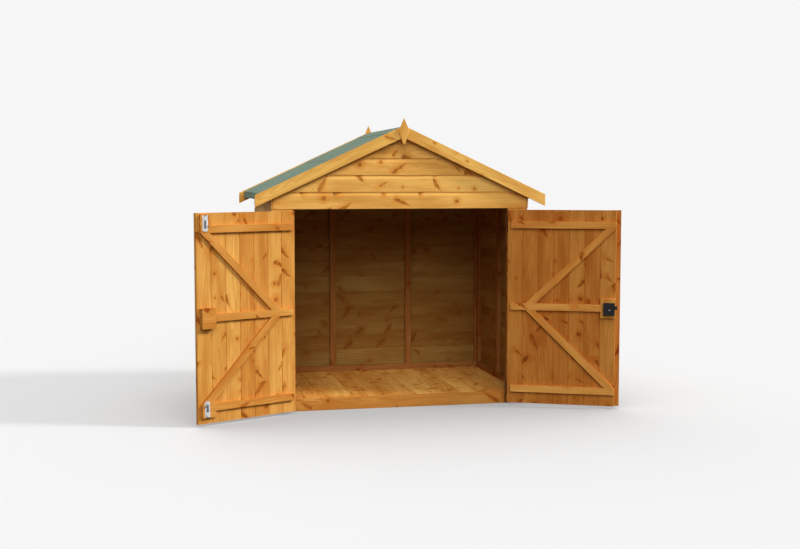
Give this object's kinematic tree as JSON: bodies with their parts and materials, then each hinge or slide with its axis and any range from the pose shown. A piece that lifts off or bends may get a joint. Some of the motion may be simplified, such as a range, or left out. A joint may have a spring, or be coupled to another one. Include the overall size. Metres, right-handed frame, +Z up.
{
  "type": "bike shelter",
  "caption": "Low timber shed with an apex felt roof and a pair of ledged and braced doors, for storing bicycles or garden tools.",
  "frame": {"origin": "On the ground under the middle floor bearer, at the centre of the walls' footprint.", "axes": "+X to the right seen from the front, +Y into the shelter from the doors, +Z up."},
  "size_m": [2.9454, 1.6601, 2.0343],
  "materials": {
    "wall_cladding": "dip-treated softwood boards, matt",
    "door_timber": "dip-treated softwood boards, matt",
    "frame_timber": "sawn softwood, matt",
    "floor_timber": "planed softwood, matt",
    "roof_timber": "sawn softwood, matt",
    "trim_timber": "planed softwood, matt",
    "roof_felt": "mineral-grit bitumen felt, matt grey-green",
    "black_hinge_metal": "black paint, satin",
    "galvanised_steel": "zinc plated, satin",
    "black_lock_metal": "black paint, satin"
  },
  "bodies": {
    "shelter": {"floor_bearers": "floor_timber", "floor_deck": "floor_timber", "floor_front_board": "floor_timber", "left_wall": "wall_cladding", "right_wall": "wall_cladding", "back_wall": "wall_cladding", "front_gable": "wall_cladding", "front_left_strip": "wall_cladding", "front_right_strip": "wall_cladding", "door_posts": "frame_timber", "header_rail": "frame_timber", "left_wall_frame": "frame_timber", "right_wall_frame": "frame_timber", "back_wall_frame": "frame_timber", "front_gable_rafters": "frame_timber", "back_gable_rafters": "frame_timber", "left_roof_boards": "roof_timber", "right_roof_boards": "roof_timber", "roof_battens": "roof_timber", "left_roof_felt": "roof_felt", "right_roof_felt": "roof_felt", "ridge_felt": "roof_felt", "front_left_bargeboard": "trim_timber", "front_right_bargeboard": "trim_timber", "rear_left_bargeboard": "trim_timber", "rear_right_bargeboard": "trim_timber", "front_finial": "trim_timber", "rear_finial": "trim_timber", "hinge_plates": "black_hinge_metal"},
    "left_door": {"left_door_boards": "door_timber", "left_door_ledges": "door_timber", "left_door_braces": "door_timber", "left_door_meeting_strip": "door_timber", "left_door_hinge_straps": "black_hinge_metal", "left_door_bolt_blocks": "door_timber", "left_door_bolt_plates": "galvanised_steel", "left_door_keeper_block": "door_timber"},
    "right_door": {"right_door_boards": "door_timber", "right_door_ledges": "door_timber", "right_door_braces": "door_timber", "right_door_meeting_strip": "door_timber", "right_door_cover_strip": "door_timber", "right_door_hinge_straps": "black_hinge_metal", "right_door_lock_block": "door_timber", "right_door_rim_lock": "black_lock_metal"},
    "top_bolt": {"top_bolt_rod": "galvanised_steel"},
    "bottom_bolt": {"bottom_bolt_rod": "galvanised_steel"}
  },
  "joints": [
    {"name": "left_door_hinge", "type": "hinge", "parent": "shelter", "child": "left_door", "pos_m": [-0.765, -0.616, 0.71], "axis": [0, 0, -1], "range_deg": [-154, 21]},
    {"name": "right_door_hinge", "type": "hinge", "parent": "shelter", "child": "right_door", "pos_m": [0.765, -0.616, 0.71], "axis": [0, 0, 1], "range_deg": [-155, 20]},
    {"name": "top_bolt_slide", "type": "slide", "parent": "left_door", "child": "top_bolt", "axis": [0, 0, 1], "range_m": [0, 0.032]},
    {"name": "bottom_bolt_slide", "type": "slide", "parent": "left_door", "child": "bottom_bolt", "axis": [0, 0, -1], "range_m": [0, 0.032]}
  ]
}
